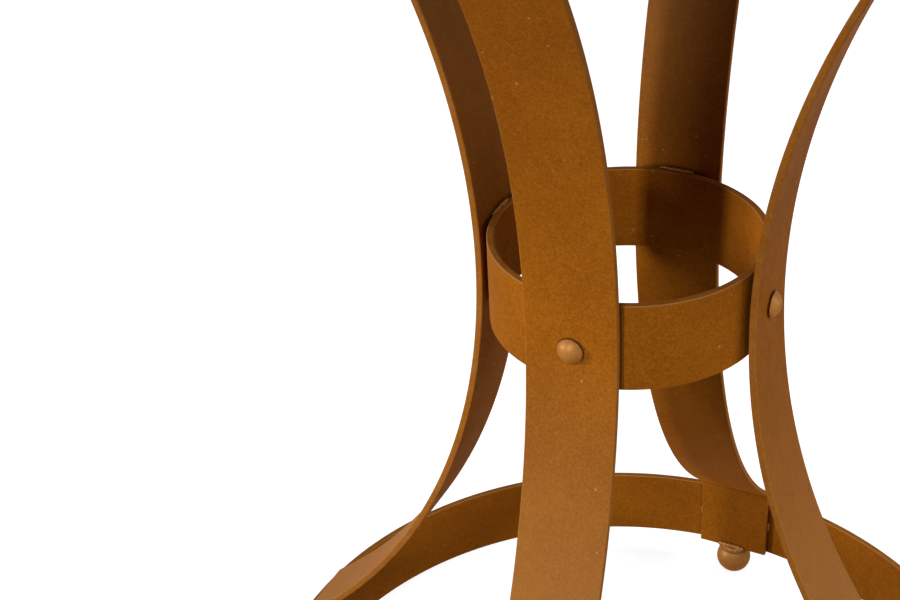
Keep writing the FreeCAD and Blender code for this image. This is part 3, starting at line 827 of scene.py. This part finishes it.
strap_low, strap_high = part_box("cross_strap_long")
lay("strap_weld_beads", level_line(strap_high.x, 17 * mm, strap_low.z + 0.5 * mm),
    "strap_welds", radius=2.2 * mm, ripple=2.8 * mm, depth=0.2, taper=0.4, uneven=0.4 * mm,
    lump=3.5 * mm, first_angle=0.0)

# %% [markdown]
# ## Tabs and straps
# The four drilled tabs and the cross of straps are short pieces of flat bar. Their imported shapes
# are right, so a copy of each is merged and its sharp edges are bevelled, as a few strokes of a
# file would do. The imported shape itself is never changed.


# %% Dress the tabs and straps
def merged_copy(name, *node_names):
    """One object with the merged meshes of some CAD nodes, flat faces made whole again."""
    work = bmesh.new()
    for node_name in node_names:
        work.from_mesh(nodes[node_name].data)
    bmesh.ops.remove_doubles(work, verts=work.verts, dist=0.005 * mm)
    bmesh.ops.dissolve_limit(work, angle_limit=math.radians(1), verts=work.verts, edges=work.edges)
    bmesh.ops.recalc_face_normals(work, faces=work.faces)
    mesh = bpy.data.meshes.new(name)
    work.to_mesh(mesh)
    work.free()
    mesh.materials.clear()
    return put_in_scene(name, mesh)


def bevelled(piece, width, segments=2, least_angle=40):
    """The piece with its sharp edges rounded, as a plain mesh."""
    modifier = piece.modifiers.new("filed_edges", "BEVEL")
    modifier.width = width
    modifier.segments = segments
    modifier.limit_method = "ANGLE"
    modifier.angle_limit = math.radians(least_angle)
    name = piece.name
    piece.name = name + "_sharp"
    return plain_mesh(piece, name)


def dressed(name, material, slot, width, *node_names):
    """CAD nodes with filed edges and a finish."""
    piece = bevelled(merged_copy(name, *node_names), width)
    piece.data.materials.append(material)
    settle(piece.data)
    carry(weighted(piece), slot, *node_names)


for side in table_sides:
    dressed("drilled_tab_" + side, patina, "rust_iron", 0.4 * mm, "mounting_tab_" + side)
dressed("long_strap", patina, "rust_iron", 0.4 * mm, "cross_strap_long")
dressed("short_straps", patina, "rust_iron", 0.4 * mm, "cross_straps_short")

# %% [markdown]
# ## The rim frame
# The rim is an angle section rolled to a circle: an upright wall that shows round the edge of the
# stone, and a ledge below that carries the board. Its section is drawn once, its corners are
# rounded, and the lathe turns it. A turned section with 256 steps has no visible flats.


# %% Turn the rim frame
def rounded_section(corners, radius, steps=4):
    """A closed outline with every corner rounded by the same radius."""
    result = []
    count = len(corners)
    for i, corner in enumerate(corners):
        here = Vector(corner)
        back = (Vector(corners[i - 1]) - here).normalized()
        ahead = (Vector(corners[(i + 1) % count]) - here).normalized()
        half = back.angle(ahead) / 2
        reach = radius / math.tan(half)
        centre = here + (back + ahead).normalized() * (radius / math.sin(half))
        start, end = here + back * reach - centre, here + ahead * reach - centre
        for k in range(steps + 1):
            swing = start.lerp(end, k / steps)
            point = centre + swing.normalized() * radius
            result.append((point.x, point.y))
    return result


rim_low, rim_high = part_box("rim_frame")
rim_wall = 3.2 * mm
ledge_width = 25 * mm
rim_inner = rim_high.x - rim_wall
ledge_top = rim_low.z + rim_wall
rim_section = rounded_section([
    (rim_high.x - ledge_width, rim_low.z), (rim_high.x, rim_low.z), (rim_high.x, rim_high.z),
    (rim_inner, rim_high.z), (rim_inner, ledge_top), (rim_high.x - ledge_width, ledge_top)],
    0.6 * mm)
rim_mesh = turned_mesh("rim_frame_turned", rim_section, round_steps, True)
rim_mesh.materials.append(patina)
settle(rim_mesh)
carry(weighted(put_in_scene("rim_angle_ring", rim_mesh)), "rust_iron", "rim_frame")

# %% [markdown]
# ## Screws
# Four zinc-plated pan-head screws hold the top down. Each goes up through a tab and a strap into
# the board, so only its head shows from below. The head is a low dome with a cross recess, which
# is cut with a boolean: two crossed wedges are taken out of one head before it is copied round.

# %% Turn the screws and cut their recess
screw_r = tab_low.x + 12 * mm
screw_seat = tab_low.z
screw_head, screw_point = 3.2 * mm, 3 * mm
screw_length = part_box("tab_screws")[1].z - screw_seat + screw_head
pan_radius, screw_shank = 5.0 * mm, 2.4 * mm
crown, flatness, pan_steps = screw_head * 0.75, 0.8, 12
pan = [(0, 0)]
for i in range(1, pan_steps + 1):
    angle = math.pi / 2 * i / pan_steps
    pan.append((pan_radius * math.sin(angle) ** flatness, crown * (1 - math.cos(angle))))
pan += [(pan_radius, screw_head), (screw_shank, screw_head),
        (screw_shank, screw_length - screw_point), (0, screw_length)]
screw_blank = put_in_scene("screw_blank", turned_mesh("screw_blank", pan, 40))
settle(screw_blank.data)
slot_half, slot_long, slot_deep = 0.55 * mm, 2.6 * mm, 2.0 * mm
wedge_ends = ((slot_long, slot_half, -mm), (slot_long / 3, slot_half / 2, slot_deep))
wedge = [(x * reach, y * width, z) for reach, width, z in wedge_ends
         for x, y in ((-1, -1), (1, -1), (1, 1), (-1, 1))]
wedge_faces = [(0, 3, 2, 1), (4, 5, 6, 7), (0, 1, 5, 4), (1, 2, 6, 5), (2, 3, 7, 6), (3, 0, 4, 7)]
for turn in (0, math.pi / 2):
    wedge_mesh = bpy.data.meshes.new("recess_wedge")
    wedge_mesh.from_pydata(wedge, [], wedge_faces)
    wedge_mesh.transform(Matrix.Rotation(turn, 4, "Z"))
    cutter = put_in_scene("recess_wedge", wedge_mesh)
    cut = screw_blank.modifiers.new("cross_recess", "BOOLEAN")
    cut.object = cutter
    cut.operation = "DIFFERENCE"
    cut.solver = "EXACT"
    screw_blank = plain_mesh(screw_blank, "screw_blank_cut")
    bpy.data.objects.remove(cutter)
screw_mesh = screw_blank.data.copy()
bpy.data.objects.remove(screw_blank)
screw_mesh.transform(Matrix.Translation((screw_r, 0, screw_seat - screw_head)))
print("one screw:", len(screw_mesh.polygons), "faces")

# %% [markdown]
# Zinc plate is a thin bright coat that dulls within a year. It is the only bare metal here:
# metallic, light grey, with faint clouds where it has dulled more.

# %% Plate the screws
zinc, tree, place = new_material("dulled_zinc_plate")
dulled = add_node(tree, "ShaderNodeTexNoise", None, {
    "Vector": place, "Scale": 1 / (3 * mm), "Detail": 3.0})
coat = layer(tree, linear("#B4B1AA"), "#8E8C86", dulled, 0.3, 0.7)
gloss = add_node(tree, "ShaderNodeMapRange", None, {
    "Value": dulled, "From Min": 0.3, "From Max": 0.7, "To Min": 0.3, "To Max": 0.48})
end_material(tree, {"Base Color": coat, "Metallic": 1.0, "Roughness": gloss})
screws = grow("pan_head_screws", screw_mesh, set_out, {
    "Count": 4, "First angle": 0.0, "Unevenness": 0.0, "Lump size": 5 * mm, "Material": zinc})
carry(screws, "screw_steel", "tab_screws")

# %% [markdown]
# ## The board and the mortar bed
# The board under the stone is exterior plywood with a clear seal. It shows only from below: a
# rotary-cut face with long, wandering grain. Grain is noise that is stretched along the board.
# The mortar bed fills the joints between the stones. It is matt and sandy; the sand is under
# 0.5 mm and is drawn at 0.8 mm so that it shows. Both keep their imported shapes, and only the
# material in their slots changes.

# %% Mix plywood and grout
plywood, tree, place = new_material("sealed_exterior_plywood")
stretched = add_node(tree, "ShaderNodeMapping", None, {
    "Vector": place, "Scale": (0.12, 1.0, 1.0)})
cathedral = add_node(tree, "ShaderNodeTexNoise", None, {
    "Vector": stretched, "Scale": 1 / (26 * mm), "Detail": 3.0, "Roughness": 0.5,
    "Distortion": 0.6})
rings = add_node(tree, "ShaderNodeMath", {"operation": "MULTIPLY"}, {0: cathedral, 1: 9.0})
rings = add_node(tree, "ShaderNodeMath", {"operation": "PINGPONG"}, {0: rings, 1: 0.5})
fibre_place = add_node(tree, "ShaderNodeMapping", None, {
    "Vector": place, "Scale": (0.03, 1.0, 1.0)})
fibres = add_node(tree, "ShaderNodeTexNoise", None, {
    "Vector": fibre_place, "Scale": 1 / (0.9 * mm), "Detail": 2.0})
wood = layer(tree, linear("#B98F5C"), "#A1764A", rings, 0.0, 0.5)
wood = layer(tree, wood, "#8A613A", fibres, 0.3, 0.75, 0.45)
gloss = add_node(tree, "ShaderNodeMapRange", None, {
    "Value": fibres, "From Min": 0.3, "From Max": 0.7, "To Min": 0.42, "To Max": 0.55})
bump = add_node(tree, "ShaderNodeBump", None, {
    "Strength": 0.3, "Distance": 0.15 * mm, "Height": fibres})
end_material(tree, {"Base Color": wood, "Roughness": gloss, "Normal": bump})

grout, tree, place = new_material("sanded_cement_grout")
stains = add_node(tree, "ShaderNodeTexNoise", None, {
    "Vector": place, "Scale": 1 / (30 * mm), "Detail": 3.0})
sand = add_node(tree, "ShaderNodeTexNoise", None, {
    "Vector": place, "Scale": 1 / (0.8 * mm), "Detail": 2.0, "Roughness": 0.7})
paste = layer(tree, linear("#9E9484"), "#8B8172", stains, 0.3, 0.7)
paste = layer(tree, paste, "#6F675B", sand, 0.4, 0.7, 0.4)
bump = add_node(tree, "ShaderNodeBump", None, {
    "Strength": 0.6, "Distance": 0.3 * mm, "Height": sand})
end_material(tree, {"Base Color": paste, "Roughness": 0.9, "Normal": bump})


def refinish(node_name, material):
    """A CAD node keeps its shape and gets a finish in all its slots."""
    mesh_slots = nodes[node_name].data.materials
    mesh_slots.clear()
    mesh_slots.append(material)
    print(node_name, "finished in", material.name)


refinish("backer_board", plywood)
refinish("mortar_bed", grout)

# %% [markdown]
# ## A tree that dresses stones
# Every stone was sawn from another block, so each has its own tone and its own veins. The tree
# finds the separate islands of a mesh, gives each a random tone and a random step through the
# pattern, and stores both where the materials can read them. It also sets each stone down by a
# hair and, for tumbled stones, makes the face gently uneven.

# %% Build the stone tree
stonework, given = new_tree("dress_stones", {
    "Seed": "Int", "Drop": "Float", "Face steps": "Int", "Unevenness": "Float",
    "Lump size": "Float", "Material": "Material"})
island = add_node(stonework, "GeometryNodeInputMeshIsland")
tone = add_node(stonework, "FunctionNodeRandomValue", {"data_type": "FLOAT"},
                {"ID": (island, "Island Index"), "Seed": (given, "Seed")})
toned = add_node(stonework, "GeometryNodeStoreNamedAttribute", {"data_type": "FLOAT"},
                 {"Geometry": (given, "Geometry"), "Name": "stone_tone", "Value": tone})
next_seed = add_node(stonework, "ShaderNodeMath", {"operation": "ADD"},
                     {0: (given, "Seed"), 1: 1.0})
block = add_node(stonework, "FunctionNodeRandomValue", {"data_type": "FLOAT_VECTOR"},
                 {"ID": (island, "Island Index"), "Seed": next_seed})
blocked = add_node(stonework, "GeometryNodeStoreNamedAttribute", {"data_type": "FLOAT_VECTOR"},
                   {"Geometry": toned, "Name": "stone_block", "Value": block})
down = tone
for factor in ((given, "Drop"), -1.0):
    down = add_node(stonework, "ShaderNodeMath", {"operation": "MULTIPLY"}, {0: down, 1: factor})
down = add_node(stonework, "ShaderNodeCombineXYZ", None, {"Z": down})
lowered = add_node(stonework, "GeometryNodeSetPosition", None,
                   {"Geometry": blocked, "Offset": down})
finer = add_node(stonework, "GeometryNodeSubdivideMesh", None,
                 {"Mesh": lowered, "Level": (given, "Face steps")})
end_tree(stonework, push_by_noise(stonework, finer, given), given)
print("stone tree has", len(stonework.nodes), "nodes")


# %% [markdown]
# ## Stone finishes
# Five stones lie in the top. The light squares are cream limestone, the dark ones brown marble
# with pale veins, the border a red-brown stone, the field sand-coloured travertine with its small
# pits, and the rim row a grey-brown stone. All are honed: ground flat but not polished, which
# gives a soft gloss and no mirror image. Each material starts from the same place: the point on
# the object, moved by the stone's own random step.

# %% Mix the stones
def start_stone(name):
    """A stone material: its tree, the place in its block, and its tone from 0 to 1."""
    material, tree, on_object = new_material(name)
    block = add_node(tree, "ShaderNodeAttribute", {"attribute_name": "stone_block"})
    place = add_node(tree, "ShaderNodeVectorMath", {"operation": "ADD"},
                     {0: on_object, 1: (block, "Vector")})
    tone = add_node(tree, "ShaderNodeAttribute", {"attribute_name": "stone_tone"})
    return material, tree, place, (tone, "Fac")


def hone(tree, colour, pattern, smooth, rough, height, depth, strength=0.3):
    """The ground face of a stone: colour, a gloss that varies with a pattern, and fine relief."""
    gloss = add_node(tree, "ShaderNodeMapRange", None, {
        "Value": pattern, "From Min": 0.3, "From Max": 0.7, "To Min": smooth, "To Max": rough})
    bump = add_node(tree, "ShaderNodeBump", None, {
        "Strength": strength, "Distance": depth, "Height": height})
    end_material(tree, {"Base Color": colour, "Roughness": gloss, "IOR": 1.5,
                        "Specular IOR Level": 0.1, "Normal": bump})


def wandering_lines(tree, place, size, distortion):
    """How far soft noise is from its middle value: near 0 along thin wandering lines."""
    field = add_node(tree, "ShaderNodeTexNoise", None, {
        "Vector": place, "Scale": 1 / size, "Detail": 4.0, "Roughness": 0.55,
        "Distortion": distortion})
    away = add_node(tree, "ShaderNodeMath", {"operation": "SUBTRACT"}, {0: field, 1: 0.5})
    return add_node(tree, "ShaderNodeMath", {"operation": "ABSOLUTE"}, {0: away})


limestone, tree, place, tone = start_stone("honed_cream_limestone")
clouds = add_node(tree, "ShaderNodeTexNoise", None, {
    "Vector": place, "Scale": 1 / (24 * mm), "Detail": 4.0})
flecks = add_node(tree, "ShaderNodeTexNoise", None, {
    "Vector": place, "Scale": 1 / (3.2 * mm), "Detail": 2.0, "Roughness": 0.6})
grit = add_node(tree, "ShaderNodeTexNoise", None, {
    "Vector": place, "Scale": 1 / (1.0 * mm), "Detail": 2.0})
colour = layer(tree, linear("#D8CBAC"), "#E3D8C0", clouds, 0.3, 0.7)
colour = layer(tree, colour, "#CDBB98", tone, 0.0, 1.0, 0.45)
colour = layer(tree, colour, "#B6A27C", flecks, 0.6, 0.72, 0.5)
colour = layer(tree, colour, "#C3B28F", grit, 0.35, 0.7, 0.2)
hone(tree, colour, clouds, 0.48, 0.58, grit, 0.06 * mm)

marble, tree, place, tone = start_stone("honed_brown_marble")
clouds = add_node(tree, "ShaderNodeTexNoise", None, {
    "Vector": place, "Scale": 1 / (14 * mm), "Detail": 4.0, "Roughness": 0.6, "Distortion": 0.8})
veins = wandering_lines(tree, place, 34 * mm, 1.0)
hairs = wandering_lines(tree, place, 13 * mm, 1.6)
colour = layer(tree, linear("#41342B"), "#5E4B3D", clouds, 0.3, 0.7)
colour = layer(tree, colour, "#3A302A", tone, 0.0, 1.0, 0.4)
colour = layer(tree, colour, "#A58E72", veins, 0.012, 0.0, 0.6)
colour = layer(tree, colour, "#8C7760", hairs, 0.010, 0.0, 0.3)
hone(tree, colour, clouds, 0.42, 0.5, clouds, 0.05 * mm, 0.15)


def clouded_stone(name, ground, cloud, other_tone, gritty, clouding, grit_size, grit_mask, gloss):
    """A stone with soft clouds and a sandy grit: four colours, then how each pattern is drawn."""
    material, tree, place, tone = start_stone(name)
    cloud_size, roughness, distortion = clouding
    clouds = add_node(tree, "ShaderNodeTexNoise", None, {
        "Vector": place, "Scale": 1 / cloud_size, "Detail": 4.0, "Roughness": roughness,
        "Distortion": distortion})
    grit = add_node(tree, "ShaderNodeTexNoise", None, {
        "Vector": place, "Scale": 1 / grit_size, "Detail": 2.0, "Roughness": 0.6})
    colour = layer(tree, linear(ground), cloud, clouds, 0.3, 0.7)
    colour = layer(tree, colour, other_tone, tone, 0.0, 1.0, 0.5)
    colour = layer(tree, colour, gritty, grit, *grit_mask)
    hone(tree, colour, clouds, *gloss, grit, 0.08 * mm)
    return material


red_stone = clouded_stone(
    "honed_red_brown_stone", "#784C34", "#8F6143", "#6C4530", "#573625",
    clouding=(16 * mm, 0.55, 0.4), grit_size=1.2 * mm, grit_mask=(0.5, 0.7, 0.35),
    gloss=(0.42, 0.52))

travertine, tree, place, tone = start_stone("tumbled_sand_travertine")
bedded = add_node(tree, "ShaderNodeMapping", None, {
    "Vector": place, "Rotation": (0, 0, 0.5), "Scale": (0.35, 1.6, 1.0)})
bands = add_node(tree, "ShaderNodeTexNoise", None, {
    "Vector": bedded, "Scale": 1 / (11 * mm), "Detail": 4.0, "Roughness": 0.6, "Distortion": 0.3})
grit = add_node(tree, "ShaderNodeTexNoise", None, {
    "Vector": place, "Scale": 1 / (1.1 * mm), "Detail": 2.0, "Roughness": 0.6})
colour = layer(tree, linear("#B49E7C"), "#CFBD9E", bands, 0.3, 0.7)
colour = layer(tree, colour, "#A8906C", tone, 0.0, 1.0, 0.55)
colour = layer(tree, colour, "#8F7A5A", grit, 0.4, 0.7, 0.2)
bubbles = add_node(tree, "ShaderNodeTexVoronoi", None, {
    "Vector": bedded, "Scale": 1 / (5.5 * mm)})
bubble = add_node(tree, "ShaderNodeMapRange", None, {
    "Value": (bubbles, "Distance"), "From Min": 0.24, "From Max": 0.16})
porous = add_node(tree, "ShaderNodeTexNoise", None, {
    "Vector": place, "Scale": 1 / (16 * mm), "Detail": 2.0})
porous = add_node(tree, "ShaderNodeMapRange", None, {
    "Value": porous, "From Min": 0.5, "From Max": 0.56})
pits = add_node(tree, "ShaderNodeMath", {"operation": "MULTIPLY"}, {0: bubble, 1: porous})
colour = layer(tree, colour, "#6E5A40", pits, 0.0, 1.0, 0.75)
relief = add_node(tree, "ShaderNodeMath", {"operation": "MULTIPLY_ADD"},
                  {0: pits, 1: -3.0, 2: grit})
hone(tree, colour, bands, 0.52, 0.62, relief, 0.2 * mm, 0.4)

grey_stone = clouded_stone(
    "honed_grey_brown_stone", "#797268", "#948C80", "#6C655C", "#58524A",
    clouding=(20 * mm, 0.6, 0.5), grit_size=1.0 * mm, grit_mask=(0.5, 0.72, 0.4),
    gloss=(0.45, 0.55))
print("five stones mixed")

# %% [markdown]
# ## The stones of the top
# The saw left sharp arrises. On the playing squares they were eased by hand, and the field stones
# were tumbled, which rounds them more. So each group is a merged copy of its packed stones, with a
# bevel of its own width, run through the stone tree. Nothing rises above the table's height.


# %% Dress the stones
def lay_stones(name, material, slot, node_names, edge, seed, drop, steps=0, uneven=0.0, lump=mm):
    """One group of stones with eased edges and a finish. Each stone lies up to the drop lower."""
    rounded = bevelled(merged_copy(name + "_sawn", *node_names), edge, 2, 30)
    mesh = rounded.data.copy()
    bpy.data.objects.remove(rounded)
    stones = grow(name, mesh, stonework, {
        "Seed": seed, "Drop": drop, "Face steps": steps, "Unevenness": uneven, "Lump size": lump,
        "Material": material})
    top = max(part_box(node_name)[1].z for node_name in node_names)
    for point in stones.data.vertices:
        point.co.z = min(point.co.z, top)
    carry(stones, slot, *node_names)


ranks = range(1, 9)
lay_stones("light_squares", limestone, "light_stone", ["rank_%d_light_squares" % r for r in ranks],
           edge=0.35 * mm, seed=11, drop=0.06 * mm)
lay_stones("dark_squares", marble, "dark_stone", ["rank_%d_dark_squares" % r for r in ranks],
           edge=0.35 * mm, seed=23, drop=0.06 * mm)
lay_stones("border_row", red_stone, "border_stone", ["border_tiles_" + s for s in table_sides],
           edge=0.6 * mm, seed=31, drop=0.12 * mm)
lay_stones("field_rings", travertine, "field_stone", ["field_stones_" + s for s in table_sides],
           edge=1.3 * mm, seed=47, drop=0.3 * mm, steps=2, uneven=0.22 * mm, lump=11 * mm)
lay_stones("rim_row", grey_stone, "rim_stone", ["rim_stones_" + s for s in table_sides],
           edge=0.7 * mm, seed=59, drop=0.15 * mm)
